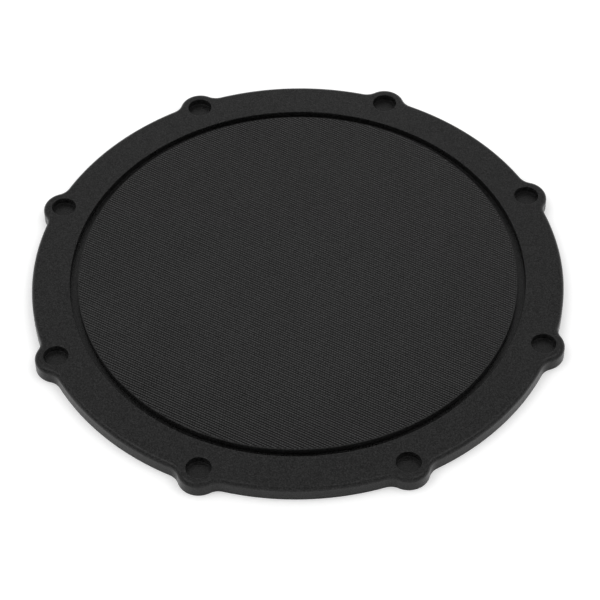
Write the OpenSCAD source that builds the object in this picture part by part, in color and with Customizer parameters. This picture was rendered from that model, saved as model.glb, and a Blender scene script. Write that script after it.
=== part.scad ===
/* [Rim] */
// Diameter of the round rim between the lugs
rim_d = 306; // [303:0.5:309]
// Thickness from the surface it lies on up to the playing surface
total_h = 9.5; // [9.4:0.1:12]
// Radius of the rounded upper outer edge
edge_r = 2.6; // [0.8:0.1:2.8]

/* [Lugs] */
// Number of lugs spaced evenly round the rim
lug_count = 8; // [6:1:10]
// Diameter of the circle through the centres of the lugs
lug_circle_d = 296; // [293:0.5:299]
// Radius of the round end of a lug
lug_r = 12; // [11:0.1:13]
// Radius of the hollow that blends a lug into the rim
blend_r = 9; // [5:0.5:12]
// Diameter of the blind round recess in a lug
recess_d = 14; // [10:0.5:15]
// Depth of the blind round recess in a lug
recess_depth = 4.2; // [2:0.1:4.4]

/* [Playing surface] */
// Diameter of the playing cap
cap_d = 253; // [244:0.5:256]
// Width of the groove between the playing cap and the rim
groove_w = 4.5; // [3:0.1:6]
// Depth of the groove below the playing surface
groove_depth = 4.4; // [4:0.1:5]
// Thickness of the top of the playing cap
cap_top_h = 1.9; // [1.4:0.1:2.2]
// Thickness of the skirt round the playing cap
skirt_w = 3; // [2:0.1:5]
// Radius of the eased top edge of the playing cap
cap_edge_r = 0.4; // [0.2:0.1:0.8]

/* [Underside] */
// Diameter of the non-slip sheet
grip_d = 270; // [250:1:276]
// Thickness of the non-slip sheet
grip_h = 1.4; // [1:0.1:2]
// Height that the non-slip sheet stands proud of the tray
grip_proud = 0.1; // [0.1:0.1:0.8]

/* [Hidden] */
$fn = 96;

// Thickness of each double-sided adhesive film
film_h = 0.2;
// Room round a piece that sits inside another
fit_gap = 0.3;
// Overrun that carries a cut cleanly through a face
over = 1;
// Depth by which a blending hollow bites past the circles it touches, so that the faces cross
bite = 0.04;

rim_r = rim_d / 2;
lug_x = lug_circle_d / 2;
cap_r = cap_d / 2;
pocket_r = cap_r + groove_w;
grip_r = grip_d / 2;
core_r = cap_r - skirt_w - fit_gap;

// Heights above the surface that the pad lies on
tray_bottom = grip_proud;
grip_film_z = grip_h;
bed_ceiling = grip_film_z + film_h;
groove_floor = total_h - groove_depth;
core_z = groove_floor + film_h;
cap_roof = total_h - cap_top_h;
core_top = cap_roof - film_h;

// The blending hollow touches the rim circle and the lug circle, so its centre is one corner
// of a triangle whose three sides are known.
blend_reach = rim_r + blend_r;
blend_gap = lug_r + blend_r;
blend_angle = acos((blend_reach ^ 2 + lug_x ^ 2 - blend_gap ^ 2) / (2 * blend_reach * lug_x));

// Angles of the lugs, half a step round from the X axis
lug_angles = [for (i = [0 : lug_count - 1]) (i + 0.5) * 360 / lug_count];

// A place in plan at radius r and the given angle
function polar(r, angle) = r * [cos(angle), sin(angle)];

// A disc standing on z = bottom whose upper edge is rounded
module eased_disc(r, bottom, edge) {
    h = total_h - bottom;
    translate([0, 0, bottom])
        rotate_extrude() {
            square([r - edge, h]);
            square([r, h - edge]);
            translate([r - edge, h - edge])
                intersection() {
                    circle(edge);
                    square(edge);
                }
        }
}

// Cuts a hollow of radius r whose upper edge flares out as a rounding of the edge radius
module flared_hollow(r, bottom, edge) {
    h = total_h - bottom;
    translate([0, 0, bottom])
        rotate_extrude() {
            translate([0, -over])
                square([r, h + 2 * over]);
            difference() {
                translate([0, h - edge])
                    square([r + edge, edge + over]);
                translate([r + edge, h - edge])
                    circle(edge);
            }
        }
}

// The web that fills the corner between the rim and one side of the lug at the given angle.
// The hollow that blends them is centred at blend_at, to one side of the lug.
module lug_web(angle, blend_at) {
    difference() {
        translate([0, 0, tray_bottom])
            linear_extrude(total_h - tray_bottom)
                polygon([
                    polar(rim_r - lug_r, blend_at),
                    polar(blend_reach, blend_at),
                    polar(lug_x, angle)
                ]);
        translate(polar(blend_reach, blend_at))
            flared_hollow(blend_r + bite, tray_bottom, edge_r);
    }
}

// One lug with a web on each side of it
module lug(angle) {
    translate(polar(lug_x, angle))
        eased_disc(lug_r, tray_bottom, edge_r);
    lug_web(angle, angle - blend_angle);
    lug_web(angle, angle + blend_angle);
}

// Moulded rubber tray: rim, lugs and the floor under the playing cap, in one piece
module hoop_tray() {
    color("#2b2b2c")
        difference() {
            union() {
                eased_disc(rim_r, tray_bottom, edge_r);
                for (angle = lug_angles)
                    lug(angle);
            }
            translate([0, 0, groove_floor])
                cylinder(r = pocket_r, h = groove_depth + over);
            for (angle = lug_angles)
                translate([0, 0, total_h - recess_depth])
                    translate(polar(lug_x, angle))
                        cylinder(d = recess_d, h = recess_depth + over);
            translate([0, 0, tray_bottom - over])
                cylinder(r = grip_r + fit_gap, h = bed_ceiling - tray_bottom + over);
        }
}

// Moulded rubber cap that is played on, with a skirt that closes the core in
module playing_cap() {
    color("#303031")
        difference() {
            eased_disc(cap_r, groove_floor, cap_edge_r);
            translate([0, 0, groove_floor - over])
                cylinder(r = core_r + fit_gap, h = cap_roof - groove_floor + over);
        }
}

// Adhesive film between the core and the roof of the cap
module core_bond_film() {
    color("#c9bd8a")
        translate([0, 0, core_top])
            cylinder(r = core_r, h = film_h);
}

// Closed-cell foam disc that damps the blow
module damping_core() {
    color("#4a4d52")
        translate([0, 0, core_z])
            cylinder(r = core_r, h = core_top - core_z);
}

// Adhesive film between the core and the floor of the tray
module floor_bond_film() {
    color("#c9bd8a")
        translate([0, 0, groove_floor])
            cylinder(r = core_r, h = film_h);
}

// Adhesive film between the tray and the non-slip sheet
module grip_bond_film() {
    color("#c9bd8a")
        translate([0, 0, grip_film_z])
            cylinder(r = grip_r - fit_gap, h = film_h);
}

// Non-slip sheet that the pad lies on
module grip_backing() {
    color("#1d1d1e")
        cylinder(r = grip_r, h = grip_h);
}

hoop_tray();
playing_cap();
core_bond_film();
damping_core();
floor_bond_film();
grip_bond_film();
grip_backing();
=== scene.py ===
import math

import bmesh
import bpy
import numpy as np
from mathutils import Matrix, Vector
from mathutils.geometry import delaunay_2d_cdt


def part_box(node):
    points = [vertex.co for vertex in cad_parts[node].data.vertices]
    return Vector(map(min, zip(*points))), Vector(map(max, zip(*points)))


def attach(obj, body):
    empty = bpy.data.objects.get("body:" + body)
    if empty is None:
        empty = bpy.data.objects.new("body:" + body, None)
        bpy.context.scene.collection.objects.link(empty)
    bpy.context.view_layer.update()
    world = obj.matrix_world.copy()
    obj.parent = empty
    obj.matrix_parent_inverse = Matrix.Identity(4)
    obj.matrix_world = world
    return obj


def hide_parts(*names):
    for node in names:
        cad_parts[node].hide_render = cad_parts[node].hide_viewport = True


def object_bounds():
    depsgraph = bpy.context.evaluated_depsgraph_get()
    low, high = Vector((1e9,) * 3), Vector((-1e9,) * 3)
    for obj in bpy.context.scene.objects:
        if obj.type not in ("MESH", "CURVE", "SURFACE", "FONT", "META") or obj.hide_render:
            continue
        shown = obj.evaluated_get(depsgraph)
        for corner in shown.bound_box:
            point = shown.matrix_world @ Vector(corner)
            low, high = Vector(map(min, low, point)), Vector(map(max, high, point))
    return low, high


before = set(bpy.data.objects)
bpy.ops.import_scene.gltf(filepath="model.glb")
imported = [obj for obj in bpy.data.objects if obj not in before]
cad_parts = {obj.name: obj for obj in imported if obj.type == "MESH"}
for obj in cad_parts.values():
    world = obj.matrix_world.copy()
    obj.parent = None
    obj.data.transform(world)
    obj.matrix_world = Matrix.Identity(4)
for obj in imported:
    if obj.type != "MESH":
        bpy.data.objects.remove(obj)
cad_low, cad_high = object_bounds()

MM = 0.001

# ---------------------------------------------------------------- sizes, in metres
# From the frame
tray_low, tray_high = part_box("hoop_tray")
cap_low, cap_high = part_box("playing_cap")
core_low, core_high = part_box("damping_core")
grip_low, grip_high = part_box("grip_backing")
bed_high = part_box("grip_bond_film")[1]
film_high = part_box("core_bond_film")[1]

TOP_Z = tray_high.z
TRAY_BOTTOM_Z = tray_low.z
BED_Z = bed_high.z
FLOOR_Z = cap_low.z
ROOF_Z = film_high.z
RIM_R = tray_high.x
CAP_R = cap_high.x
CORE_R = core_high.x
GRIP_R = grip_high.x

# The lugs, their recesses and the groove, as the CAD model has them
LUG_COUNT = 8
LUG_STEP = 2 * math.pi / LUG_COUNT
LUG_X = 148 * MM
LUG_R = 12 * MM
BLEND_R = 9 * MM
RECESS_R = 7 * MM
RECESS_DEPTH = 4.2 * MM
GROOVE_W = 4.5 * MM
POCKET_R = CAP_R + GROOVE_W
FIT_GAP = 0.3 * MM

# Roundings
OUTER_EDGE = 2.6 * MM
LOWER_EDGE = 0.15 * MM
POCKET_EDGE = 0.35 * MM
RECESS_EDGE = 0.4 * MM
CAP_EDGE = 0.4 * MM
CORE_EDGE = 0.25 * MM
GRIP_EDGE = 0.2 * MM
FLOOR_FILLET = 0.2 * MM
# A loop this far from each rounding keeps the flat beside it flat
SUPPORT = 0.12 * MM

# Ribs of the playing surface
RIB_PITCH = 1.55 * MM
RIB_DEPTH = 0.45 * MM
RIB_NORMAL = math.radians(59.25)
RIB_SAMPLES = 8
# Above 1, the crests are broader than the furrows
CREST_BREADTH = 1.3
# Every other rib is lower by this
PAIR_DROP = 0.05 * MM
# The furrows run out over this width inside the cap's edge
RIB_MARGIN = 0.4 * MM
RIBBED_R = CAP_R - CAP_EDGE - RIB_MARGIN
# Fainter notches across the ribs
WEFT_PITCH = 1.33 * MM
WEFT_NORMAL = math.radians(123.25)
WEFT_SLOPE = 0.12

# Pips of the non-slip sheet
PIP_PITCH = 6 * MM
PIP_R = 1.5 * MM
PIP_H = 0.35 * MM
PIP_ROOT = 0.1 * MM
PIP_MARGIN = 4 * MM
# Down a pip's round side: share of its radius and share of its height
PIP_SIDE = ((0.98, 0.35), (0.86, 0.75), (0.6, 0.97))

# Points round each circle
POCKET_SIDES = 288
RECESS_SIDES = 48
CORE_SIDES = 192
GRIP_SIDES = 240
PIP_SIDES = 12
# Steps along each arc
OUTER_STEPS = 10
EDGE_STEPS = 5
FILLET_STEPS = 4
SMALL_STEPS = 3
BLEND_STEPS = 9
LUG_END_STEPS = 22
RIM_STEPS = 36
# Longest step in angle between points round the cap's edge
CAP_STEP = math.radians(1.2)

# Points of a mesh closer than this become one
WELD = 1e-8
# The same for the triangles that fill a flat region
FILL_TOLERANCE = 1e-9


# ---------------------------------------------------------------- mesh helpers
def crossings(point, edges):
    """How many of the edges, an array of pairs of points, a ray from the point towards +X crosses."""
    x1, y1, x2, y2 = edges.reshape(-1, 4).T
    spans = (y1 > point.y) != (y2 > point.y)
    x1, y1, x2, y2 = x1[spans], y1[spans], x2[spans], y2[spans]
    return int(np.sum(point.x < x1 + (point.y - y1) * (x2 - x1) / (y2 - y1)))


def circle(r, z, n, centre=(0, 0)):
    """n points round a level circle."""
    return [
        (centre[0] + r * math.cos(2 * math.pi * i / n), centre[1] + r * math.sin(2 * math.pi * i / n), z)
        for i in range(n)
    ]


def quarter(r, steps, start, stop):
    """(x, z) along an arc of radius r about the origin, between two angles in degrees."""
    out = []
    for i in range(steps + 1):
        a = math.radians(start + (stop - start) * i / steps)
        out.append((r * math.cos(a), r * math.sin(a)))
    return out


class Builder:
    """Collects points and faces of one closed surface and turns them into an object."""

    def __init__(self):
        self.points = []
        self.faces = []

    def add(self, points):
        """Adds points and gives their indices."""
        first = len(self.points)
        self.points += [tuple(p) for p in points]
        return list(range(first, len(self.points)))

    def bridge(self, a, b):
        """Joins two closed loops of the same length with quads."""
        n = len(a)
        for i in range(n):
            j = (i + 1) % n
            self.faces.append((a[i], a[j], b[j], b[i]))

    def stack(self, loops):
        """Joins loops of indices one after another."""
        for a, b in zip(loops, loops[1:]):
            self.bridge(a, b)

    def turn(self, profile, sides, centre=(0, 0)):
        """Turns a profile of (r, z) points about an upright axis and gives its loops."""
        loops = [self.add(circle(r, z, sides, centre)) for r, z in profile]
        self.stack(loops)
        return loops

    def cap(self, loop, centre):
        """Closes a loop with a fan to a centre point."""
        (c,) = self.add([centre])
        n = len(loop)
        for i in range(n):
            self.faces.append((loop[i], loop[(i + 1) % n], c))

    def sheet(self, loops):
        """Fills the flat region that lies inside the first loop and outside the others with triangles."""
        index = [i for loop in loops for i in loop]
        flat = [Vector(self.points[i][:2]) for i in index]
        edges, first = [], 0
        for loop in loops:
            n = len(loop)
            edges += [(first + i, first + (i + 1) % n) for i in range(n)]
            first += n
        verts, _, tris, origin, _, _ = delaunay_2d_cdt(flat, edges, [], 0, FILL_TOLERANCE)
        ends = np.array([(flat[i], flat[j]) for i, j in edges])
        for tri in tris:
            middle = sum((verts[i] for i in tri), Vector((0, 0))) / 3
            if crossings(middle, ends) % 2:
                self.faces.append(tuple(index[origin[i][0]] for i in tri))

    def object(self, name, material):
        """Makes the object, smooth-shaded and with its faces turned outwards."""
        mesh = bpy.data.meshes.new(name)
        mesh.from_pydata(self.points, [], self.faces)
        mesh.materials.append(material)
        mesh.validate()
        bm = bmesh.new()
        bm.from_mesh(mesh)
        bmesh.ops.remove_doubles(bm, verts=bm.verts, dist=WELD)
        bmesh.ops.recalc_face_normals(bm, faces=bm.faces)
        bm.to_mesh(mesh)
        bm.free()
        mesh.shade_smooth()
        obj = bpy.data.objects.new(name, mesh)
        bpy.context.scene.collection.objects.link(obj)
        return obj


# ---------------------------------------------------------------- outline of the tray
# A hollow that blends a lug into the rim touches both circles, so its centre is one corner of a
# triangle whose three sides are known.
BLEND_REACH = RIM_R + BLEND_R
BLEND_GAP = LUG_R + BLEND_R
BLEND_ANGLE = math.acos((BLEND_REACH**2 + LUG_X**2 - BLEND_GAP**2) / (2 * BLEND_REACH * LUG_X))
BLEND_POINT = Vector((BLEND_REACH * math.cos(BLEND_ANGLE), BLEND_REACH * math.sin(BLEND_ANGLE)))
LUG_SWEEP = math.atan2(BLEND_POINT.y, BLEND_POINT.x - LUG_X)
LUG_ANGLES = [(k + 0.5) * LUG_STEP for k in range(LUG_COUNT)]


def arc(cx, cy, r, start, stop, steps):
    """Points along an arc, without the last one."""
    out = []
    for i in range(steps):
        a = start + (stop - start) * i / steps
        out.append((cx + r * math.cos(a), cy + r * math.sin(a)))
    return out


def outline(inset):
    """The tray's plan, moved inwards: for each lug a hollow, the lug's end, a hollow and the rim."""
    bx, by = BLEND_POINT
    blend_r = BLEND_R + inset
    one = arc(bx, -by, blend_r, math.pi - BLEND_ANGLE, math.pi - LUG_SWEEP, BLEND_STEPS)
    one += arc(LUG_X, 0, LUG_R - inset, -LUG_SWEEP, LUG_SWEEP, LUG_END_STEPS)
    one += arc(bx, by, blend_r, math.pi + LUG_SWEEP, math.pi + BLEND_ANGLE, BLEND_STEPS)
    one += arc(0, 0, RIM_R - inset, BLEND_ANGLE, LUG_STEP - BLEND_ANGLE, RIM_STEPS)
    out = []
    for angle in LUG_ANGLES:
        turn = Matrix.Rotation(angle, 2)
        out += [tuple(turn @ Vector(p)) for p in one]
    return out


# ---------------------------------------------------------------- the pieces
def hollow_profile(r, edge, floor_z):
    """(r, z) down a round hollow in the tray's top: eased mouth, wall, fillet and the rim of its floor."""
    profile = [(r + edge + SUPPORT, TOP_Z)]
    for x, z in quarter(edge, EDGE_STEPS, 90, 180):
        profile.append((r + edge + x, TOP_Z - edge + z))
    profile.append((r, floor_z + FLOOR_FILLET + SUPPORT))
    for x, z in quarter(FLOOR_FILLET, FILLET_STEPS, 0, -90):
        profile.append((r - FLOOR_FILLET + x, floor_z + FLOOR_FILLET + z))
    profile.append((r - FLOOR_FILLET - SUPPORT, floor_z))
    return profile


def add_outer_wall(b):
    """The wall from the flat underside up to the flat top, and its loops."""
    steps = [(LOWER_EDGE + SUPPORT, TRAY_BOTTOM_Z)]
    for x, z in quarter(LOWER_EDGE, EDGE_STEPS, -90, 0):
        steps.append((LOWER_EDGE - x, TRAY_BOTTOM_Z + LOWER_EDGE + z))
    steps.append((0, TRAY_BOTTOM_Z + LOWER_EDGE + SUPPORT))
    steps.append((0, TOP_Z - OUTER_EDGE - SUPPORT))
    for x, z in quarter(OUTER_EDGE, OUTER_STEPS, 0, 90):
        steps.append((OUTER_EDGE - x, TOP_Z - OUTER_EDGE + z))
    steps.append((OUTER_EDGE + SUPPORT, TOP_Z))
    wall = [b.add([(x, y, z) for x, y in outline(inset)]) for inset, z in steps]
    b.stack(wall)
    return wall


def add_recess(b, angle):
    """The blind recess in the lug at this angle, and the loop round its mouth."""
    centre = (LUG_X * math.cos(angle), LUG_X * math.sin(angle))
    floor_z = TOP_Z - RECESS_DEPTH
    profile = hollow_profile(RECESS_R, RECESS_EDGE, floor_z) + [(RECESS_R / 2, floor_z)]
    loops = b.turn(profile, RECESS_SIDES, centre)
    b.cap(loops[-1], (*centre, floor_z))
    return loops[0]


def add_pocket(b):
    """The groove and the floor that runs on under the playing cap, and the loop round its mouth."""
    profile = hollow_profile(POCKET_R, POCKET_EDGE, FLOOR_Z)
    profile += [(CAP_R, FLOOR_Z), (CAP_R / 2, FLOOR_Z), (CAP_R / 8, FLOOR_Z)]
    loops = b.turn(profile, POCKET_SIDES)
    b.cap(loops[-1], (0, 0, FLOOR_Z))
    return loops[0]


def add_bed(b):
    """The bed of the grip sheet in the underside, and the loop round its mouth."""
    r = GRIP_R + FIT_GAP
    profile = [(r + SUPPORT * 2, TRAY_BOTTOM_Z)]
    for x, z in quarter(SUPPORT, SMALL_STEPS, -90, -180):
        profile.append((r + SUPPORT + x, TRAY_BOTTOM_Z + SUPPORT + z))
    profile += [(r, BED_Z), (r - SUPPORT, BED_Z), (r / 2, BED_Z), (r / 8, BED_Z)]
    loops = b.turn(profile, POCKET_SIDES)
    b.cap(loops[-1], (0, 0, BED_Z))
    return loops[0]


def build_tray(material):
    """The moulded tray, whose flat top and flat underside join its walls and hollows."""
    b = Builder()
    wall = add_outer_wall(b)
    recesses = [add_recess(b, angle) for angle in LUG_ANGLES]
    pocket = add_pocket(b)
    bed = add_bed(b)
    b.sheet([wall[-1], pocket, *recesses])
    b.sheet([wall[0], bed])
    return b.object("tray_moulding", material)


def rib_height(s):
    """Height of the ribbed surface at a distance s across the ribs: broad crests and narrow furrows."""
    wave = 0.5 + 0.5 * math.cos(2 * math.pi * s / RIB_PITCH)
    pair = 0.5 - 0.5 * math.cos(math.pi * s / RIB_PITCH)
    return -RIB_DEPTH * (1 - wave) ** CREST_BREADTH - PAIR_DROP * pair


def rib_line_angles():
    """Angles from the ribs' normal, over half a turn, of the points round the cap, and which of them end a
    rib line. More points lie between the ends of two lines where those are far apart."""
    step = RIB_PITCH / RIB_SAMPLES
    most = int(RIBBED_R / step)
    ends = [math.acos(i * step / RIBBED_R) for i in range(most, -most - 1, -1)]
    angles = []
    for a, nxt in zip([0.0] + ends, ends + [math.pi]):
        n = max(1, math.ceil((nxt - a) / CAP_STEP))
        angles += [a + (nxt - a) * i / n for i in range(n)]
    stops = [angles.index(a) for a in ends]
    return angles + [math.pi], stops


def build_cap(material):
    """The playing cap: parallel ribs on top, a plain eased edge and a skirt down to the tray's floor."""
    b = Builder()
    across = Vector((math.cos(RIB_NORMAL), math.sin(RIB_NORMAL)))
    along = Vector((-across.y, across.x))
    half, stops = rib_line_angles()
    angles = half + [2 * math.pi - a for a in reversed(half[1:-1])]

    def ring(r, z):
        """A level loop round the cap."""
        return b.add([(*((across * math.cos(a) + along * math.sin(a)) * r), z) for a in angles])

    # The ribs' ends, then a strip between one rib line and the next
    ribbed = ring(RIBBED_R, TOP_Z)
    for i, a in zip(ribbed, angles):
        x, y, _ = b.points[i]
        b.points[i] = (x, y, TOP_Z + rib_height(RIBBED_R * math.cos(a)))
    n = len(angles)
    for first, second in zip([0] + stops, stops + [len(half) - 1]):
        strip = [ribbed[i] for i in range(first, second + 1)]
        strip += [i for i in (ribbed[-k % n] for k in range(second, first - 1, -1)) if i not in strip]
        if len(strip) > 2:
            b.faces.append(tuple(strip))

    loops = [ribbed]
    for x, z in quarter(CAP_EDGE, EDGE_STEPS, 90, 0):
        loops.append(ring(CAP_R - CAP_EDGE + x, TOP_Z - CAP_EDGE + z))
    for r, z in (
        (CAP_R, FLOOR_Z + SUPPORT),
        (CAP_R - SUPPORT, FLOOR_Z),
        (CORE_R + FIT_GAP, FLOOR_Z),
        (CORE_R + FIT_GAP, ROOF_Z),
        (CORE_R / 2, ROOF_Z),
    ):
        loops.append(ring(r, z))
    b.stack(loops)
    b.cap(loops[-1], (0, 0, ROOF_Z))
    return b.object("ribbed_cap", material)


def build_core(material):
    """The foam disc: cut edges slightly rounded."""
    b = Builder()
    e = CORE_EDGE
    low, high = core_low.z, core_high.z
    profile = [(CORE_R / 4, low), (CORE_R - 2 * e, low)]
    for x, z in quarter(e, SMALL_STEPS, -90, 0):
        profile.append((CORE_R - e + x, low + e + z))
    for x, z in quarter(e, SMALL_STEPS, 0, 90):
        profile.append((CORE_R - e + x, high - e + z))
    profile += [(CORE_R - 2 * e, high), (CORE_R / 4, high)]
    loops = b.turn(profile, CORE_SIDES)
    b.cap(loops[0], (0, 0, low))
    b.cap(loops[-1], (0, 0, high))
    return b.object("foam_core", material)


def build_grip(material):
    """The non-slip sheet with rows of round pips on its underside."""
    b = Builder()
    e = GRIP_EDGE
    base_z = grip_low.z + PIP_H
    top = grip_high.z
    profile = [(GRIP_R / 4, base_z), (GRIP_R - 2 * e, base_z)]
    for x, z in quarter(e, SMALL_STEPS, -90, 0):
        profile.append((GRIP_R - e + x, base_z + e + z))
    profile += [(GRIP_R, top), (GRIP_R - SUPPORT, top), (GRIP_R / 4, top)]
    loops = b.turn(profile, GRIP_SIDES)
    b.cap(loops[0], (0, 0, base_z))
    b.cap(loops[-1], (0, 0, top))

    row_step = PIP_PITCH * math.sqrt(3) / 2
    reach = GRIP_R - PIP_MARGIN
    rows = int(reach / row_step) + 1
    columns = int(reach / PIP_PITCH) + 1
    dome = [(PIP_R, base_z + PIP_ROOT)] + [(PIP_R * k, base_z - PIP_H * h) for k, h in PIP_SIDE]
    for j in range(-rows, rows + 1):
        y = j * row_step
        shift = PIP_PITCH / 2 if j % 2 else 0.0
        for i in range(-columns, columns + 1):
            x = i * PIP_PITCH + shift
            if math.hypot(x, y) > reach:
                continue
            pip = b.turn(dome, PIP_SIDES, (x, y))
            b.cap(pip[0], (x, y, base_z + PIP_ROOT))
            b.cap(pip[-1], (x, y, base_z - PIP_H))
    return b.object("pip_sheet", material)


# ---------------------------------------------------------------- materials
def grey(level):
    """A neutral colour of this linear brightness."""
    return (level, level, level)


class Surface:
    """A procedural material around one Principled shader."""

    def __init__(self, name, specular):
        self.material = bpy.data.materials.new(name)
        self.material.use_nodes = True
        self.tree = self.material.node_tree
        self.shader = self.tree.nodes["Principled BSDF"]
        self.shader.inputs["Specular IOR Level"].default_value = specular
        self.place = self.node("ShaderNodeTexCoord", {}).outputs["Object"]

    def node(self, kind, sockets, **settings):
        """A new node with these settings. A socket takes a plain value or another node's output."""
        made = self.tree.nodes.new(kind)
        for key, value in settings.items():
            setattr(made, key, value)
        for socket, value in sockets.items():
            if isinstance(value, bpy.types.NodeSocket):
                self.tree.links.new(value, made.inputs[socket])
            else:
                made.inputs[socket].default_value = value
        return made

    def noise(self, size, detail=3.0, roughness=0.55):
        """Noise whose features are about size metres across."""
        sockets = {"Vector": self.place, "Scale": 1 / size, "Detail": detail, "Roughness": roughness}
        return self.node("ShaderNodeTexNoise", sockets).outputs["Fac"]

    def cells(self, size):
        """The distance from the middle of the nearest cell, for cells about size metres across."""
        sockets = {"Vector": self.place, "Scale": 1 / size}
        return self.node("ShaderNodeTexVoronoi", sockets).outputs["Distance"]

    def ramp(self, fac, first, last):
        """A colour that runs from the first to the last stop, each a position and a colour."""
        made = self.node("ShaderNodeValToRGB", {"Fac": fac})
        for element, (position, colour) in zip(made.color_ramp.elements, (first, last)):
            element.position = position
            element.color = (*colour, 1)
        return made.outputs["Color"]

    def remap(self, fac, low, high, low_in=0.3, high_in=0.7):
        """Stretches values from low_in to high_in over low to high, and stops there."""
        sockets = {"Value": fac, "From Min": low_in, "From Max": high_in, "To Min": low, "To Max": high}
        return self.node("ShaderNodeMapRange", sockets).outputs["Result"]

    def bump(self, height, depth):
        """A normal tilted by a relief of this depth in metres."""
        return self.node("ShaderNodeBump", {"Height": height, "Distance": depth}).outputs["Normal"]

    def maths(self, operation, first, second=0.0):
        """The result of a Math node."""
        return self.node("ShaderNodeMath", {0: first, 1: second}, operation=operation).outputs["Value"]

    def vectors(self, operation, first, second=(0.0, 0.0, 0.0)):
        """The result of a Vector Math node."""
        made = self.node("ShaderNodeVectorMath", {0: first, 1: second}, operation=operation)
        return made.outputs["Value" if operation in ("DOT_PRODUCT", "LENGTH") else "Vector"]

    def phase(self, pitch, angle):
        """The phase, in radians, of parallel bands of this pitch whose normal lies at angle in plan."""
        across = (math.cos(angle), math.sin(angle), 0.0)
        return self.maths("MULTIPLY", self.vectors("DOT_PRODUCT", self.place, across), 2 * math.pi / pitch)

    def reach(self):
        """The distance from the Z axis."""
        return self.vectors("LENGTH", self.vectors("MULTIPLY", self.place, (1.0, 1.0, 0.0)))

    def crossways(self, phase, angle, slope, normal):
        """Tilts the normal to and fro across bands, as notches of this steepest slope would."""
        tilt = self.maths("MULTIPLY", self.maths("SINE", phase), slope)
        across = (math.cos(angle), math.sin(angle), 0.0)
        sideways = self.node("ShaderNodeVectorMath", {0: across, "Scale": tilt}, operation="SCALE")
        return self.vectors("NORMALIZE", self.vectors("ADD", normal, sideways.outputs["Vector"]))

    def finish(self, colour, roughness=None, normal=None):
        """Links these node outputs to the shader and gives the material."""
        for socket, output in (("Base Color", colour), ("Roughness", roughness), ("Normal", normal)):
            if output is not None:
                self.tree.links.new(output, self.shader.inputs[socket])
        return self.material


def tray_rubber():
    """Moulded rubber with a sandy grain and faint clouds of a duller finish."""
    s = Surface("moulded_tray", specular=0.2)
    grain = s.noise(size=0.75 * MM, detail=2.0, roughness=0.7)
    cloud = s.noise(size=11 * MM)
    return s.finish(
        colour=s.ramp(grain, (0.40, grey(0.0004)), (0.78, grey(0.0280))),
        roughness=s.remap(cloud, low=0.26, high=0.32),
        normal=s.bump(grain, depth=0.12 * MM),
    )


# Painted shading that stands in for the light and shade the ribs and notches catch: how much paler the
# crests of the ribs, every other crest and the tops between the notches are painted, and how much darker
# the furrows
CREST_PAINTED_SHADING = 0.42
PAIR_PAINTED_SHADING = 0.03
NOTCH_PAINTED_SHADING = 0.27


def cap_rubber():
    """Moulded rubber, notched across, with painted highlights along the crests of the ribs, every other one
    more so, and painted shade in the furrows and notches.
    """
    s = Surface("moulded_cap", specular=0.14)
    grain = s.noise(size=0.8 * MM, detail=2.0, roughness=0.6)
    cloud = s.noise(size=24 * MM)
    rib_phase = s.phase(RIB_PITCH, RIB_NORMAL)
    pair_phase = s.maths("MULTIPLY", rib_phase, 0.5)
    weft_phase = s.phase(WEFT_PITCH, WEFT_NORMAL)
    # Painted shading: paler crests and darker furrows follow the ribs, every other crest and the notches;
    # grain and clouds of tone are added to it below
    painted_shading_and_grain = s.maths("MULTIPLY", s.maths("COSINE", rib_phase), CREST_PAINTED_SHADING)
    for phase, weight in ((pair_phase, PAIR_PAINTED_SHADING), (weft_phase, NOTCH_PAINTED_SHADING)):
        painted_shading_and_grain = s.maths("ADD", painted_shading_and_grain, s.maths("MULTIPLY", s.maths("COSINE", phase), weight))
    # The painted rib shading ends with the ribs, inside the plain edge
    ribbed = s.remap(s.reach(), low=1.0, high=0.0, low_in=RIBBED_R, high_in=RIBBED_R + RIB_MARGIN / 2)
    painted_shading_and_grain = s.maths("MULTIPLY", painted_shading_and_grain, ribbed)
    painted_shading_and_grain = s.maths("ADD", painted_shading_and_grain, s.remap(grain, low=0.02, high=0.46))
    painted_shading_and_grain = s.maths("ADD", painted_shading_and_grain, s.remap(cloud, low=-0.04, high=0.04))
    return s.finish(
        # This colour holds painted rib light and shade as well as the random grain and clouds of tone
        colour=s.ramp(painted_shading_and_grain, (0.0, grey(0.0002)), (1.0, grey(0.0560))),
        roughness=s.remap(cloud, low=0.36, high=0.44),
        normal=s.crossways(weft_phase, WEFT_NORMAL, WEFT_SLOPE, s.bump(grain, depth=0.03 * MM)),
    )


def foam():
    """Closed-cell foam: small cells, darker between them."""
    s = Surface("closed_cell_foam", specular=0.2)
    cells = s.cells(size=0.5 * MM)
    return s.finish(
        colour=s.ramp(cells, (0.1, (0.075, 0.08, 0.088)), (0.7, (0.035, 0.038, 0.043))),
        roughness=s.remap(s.noise(size=2 * MM), low=0.85, high=0.95),
        normal=s.bump(cells, depth=0.08 * MM),
    )


def adhesive():
    """Yellowish adhesive film with smears of a different thickness."""
    s = Surface("tacky_film", specular=0.5)
    smear = s.noise(size=6 * MM, detail=4.0)
    return s.finish(
        colour=s.ramp(smear, (0.3, (0.46, 0.38, 0.17)), (0.7, (0.62, 0.55, 0.32))),
        roughness=s.remap(smear, low=0.25, high=0.45),
        normal=s.bump(s.noise(size=1.2 * MM), depth=0.03 * MM),
    )


def grip_rubber():
    """Soft dull rubber with a fine grain."""
    s = Surface("pip_rubber", specular=0.25)
    grain = s.noise(size=0.4 * MM, detail=4.0)
    cloud = s.noise(size=7 * MM)
    return s.finish(
        colour=s.ramp(cloud, (0.3, (0.009, 0.009, 0.0092)), (0.7, (0.0135, 0.0132, 0.013))),
        roughness=s.remap(grain, low=0.7, high=0.85),
        normal=s.bump(grain, depth=0.03 * MM),
    )


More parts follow.
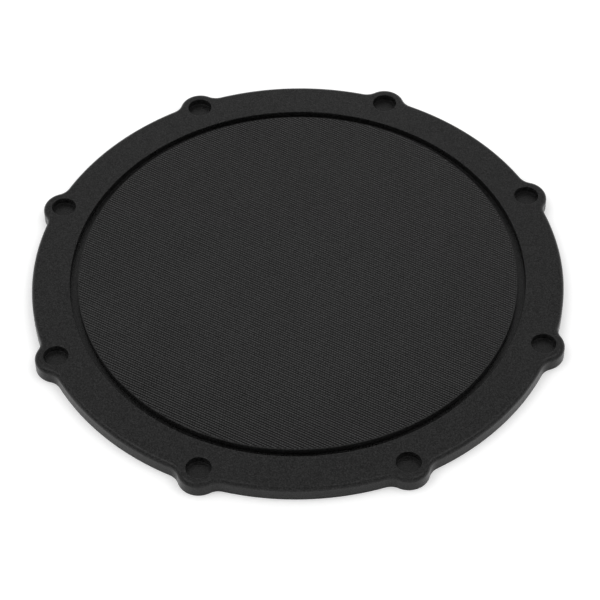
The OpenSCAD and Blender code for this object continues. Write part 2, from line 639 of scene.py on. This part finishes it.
# ---------------------------------------------------------------- camera
SENSOR = 36.0
IMAGE_SIZE = 600
FOCAL_PIXELS = 2364.0
CLIP_END = 100
CAMERA_DISTANCE = 1.348
CAMERA_ELEVATION = math.radians(49.59)
CAMERA_AZIMUTH = math.radians(-0.75)
CAMERA_ROLL = math.radians(-0.87)
AIM_SIDE = 1.17 * MM
AIM_BACK = -20.23 * MM


def add_camera():
    """The camera in front of the pad, turned a little about its own axis and about the pad's."""
    data = bpy.data.cameras.new("camera")
    data.sensor_width = SENSOR
    data.lens = FOCAL_PIXELS * SENSOR / IMAGE_SIZE
    data.clip_end = CLIP_END
    forward = Vector((0, math.cos(CAMERA_ELEVATION), -math.sin(CAMERA_ELEVATION)))
    up = Vector((0, math.sin(CAMERA_ELEVATION), math.cos(CAMERA_ELEVATION)))
    right = Vector((1, 0, 0))
    x = right * math.cos(CAMERA_ROLL) + up * math.sin(CAMERA_ROLL)
    y = up * math.cos(CAMERA_ROLL) - right * math.sin(CAMERA_ROLL)
    place = Vector((AIM_SIDE, AIM_BACK, TOP_Z)) - forward * CAMERA_DISTANCE
    axes = Matrix((x, y, -forward)).transposed().to_4x4()
    camera = bpy.data.objects.new("camera", data)
    camera.matrix_world = Matrix.Rotation(CAMERA_AZIMUTH, 4, "Z") @ Matrix.Translation(place) @ axes
    bpy.context.scene.collection.objects.link(camera)
    bpy.context.scene.camera = camera


# ---------------------------------------------------------------- floor and light
FLOOR_HALF = 6.0
# The floor is a light table: a faint glow of its own keeps it white right up to the pad
FLOOR_GLOW = 0.2
SKY_LIGHT = 0.78
LAMP_DISTANCE = 1.8
LAMP_SIZE = 0.9
# Softboxes: name, azimuth and elevation in degrees, power in watts
SOFTBOXES = (
    ("box_left", 180, 65, 4.5),
    ("box_right", 0, 65, 4.2),
    ("box_front", 270, 18, 1.0),
    ("box_back", 90, 18, 1.4),
)


def floor_finish():
    """Matt white with hardly visible clouds."""
    s = Surface("floor_paint", specular=0.0)
    s.shader.inputs["Roughness"].default_value = 1.0
    s.shader.inputs["Emission Color"].default_value = (1, 1, 1, 1)
    s.shader.inputs["Emission Strength"].default_value = FLOOR_GLOW
    return s.finish(s.ramp(s.noise(size=0.4), (0.3, grey(0.92)), (0.7, grey(0.94))))


def add_floor():
    """A level floor under the pad."""
    mesh = bpy.data.meshes.new("floor")
    corners = ((-1, -1), (1, -1), (1, 1), (-1, 1))
    mesh.from_pydata([(x * FLOOR_HALF, y * FLOOR_HALF, cad_low[2]) for x, y in corners], [], [(0, 1, 2, 3)])
    mesh.materials.append(floor_finish())
    floor = bpy.data.objects.new("floor", mesh)
    bpy.context.scene.collection.objects.link(floor)


def add_softbox(name, azimuth, elevation, power):
    """A square lamp that faces the pad from LAMP_DISTANCE away."""
    across = LAMP_DISTANCE * math.cos(math.radians(elevation))
    place = Vector((
        across * math.cos(math.radians(azimuth)),
        across * math.sin(math.radians(azimuth)),
        LAMP_DISTANCE * math.sin(math.radians(elevation)),
    ))
    data = bpy.data.lights.new(name, "AREA")
    data.shape = "SQUARE"
    data.size = LAMP_SIZE
    data.energy = power
    lamp = bpy.data.objects.new(name, data)
    lamp.location = place
    lamp.rotation_euler = (-place).to_track_quat("-Z", "Y").to_euler()
    lamp.visible_camera = False
    bpy.context.scene.collection.objects.link(lamp)


def add_lights():
    """An even white sky and the softboxes."""
    world = bpy.data.worlds.new("sky")
    bpy.context.scene.world = world
    world.use_nodes = True
    background = world.node_tree.nodes["Background"]
    background.inputs["Color"].default_value = (1, 1, 1, 1)
    background.inputs["Strength"].default_value = SKY_LIGHT
    for name, azimuth, elevation, power in SOFTBOXES:
        add_softbox(name, azimuth, elevation, power)
    bpy.context.scene.view_settings.view_transform = "Standard"


# ---------------------------------------------------------------- assembly
def assemble():
    """Builds the pieces that stand for CAD nodes and gives the adhesive films their material."""
    tray = build_tray(tray_rubber())
    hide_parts("hoop_tray")

    cap = build_cap(cap_rubber())
    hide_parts("playing_cap")

    core = build_core(foam())
    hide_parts("damping_core")

    grip = build_grip(grip_rubber())
    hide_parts("grip_backing")

    for piece in (tray, cap, core, grip):
        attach(piece, "root")

    film = adhesive()
    for name in ("core_bond_film", "floor_bond_film", "grip_bond_film"):
        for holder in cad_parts[name].material_slots:
            holder.material = film


add_camera()
assemble()
add_floor()
add_lights()

bpy.context.view_layer.update()
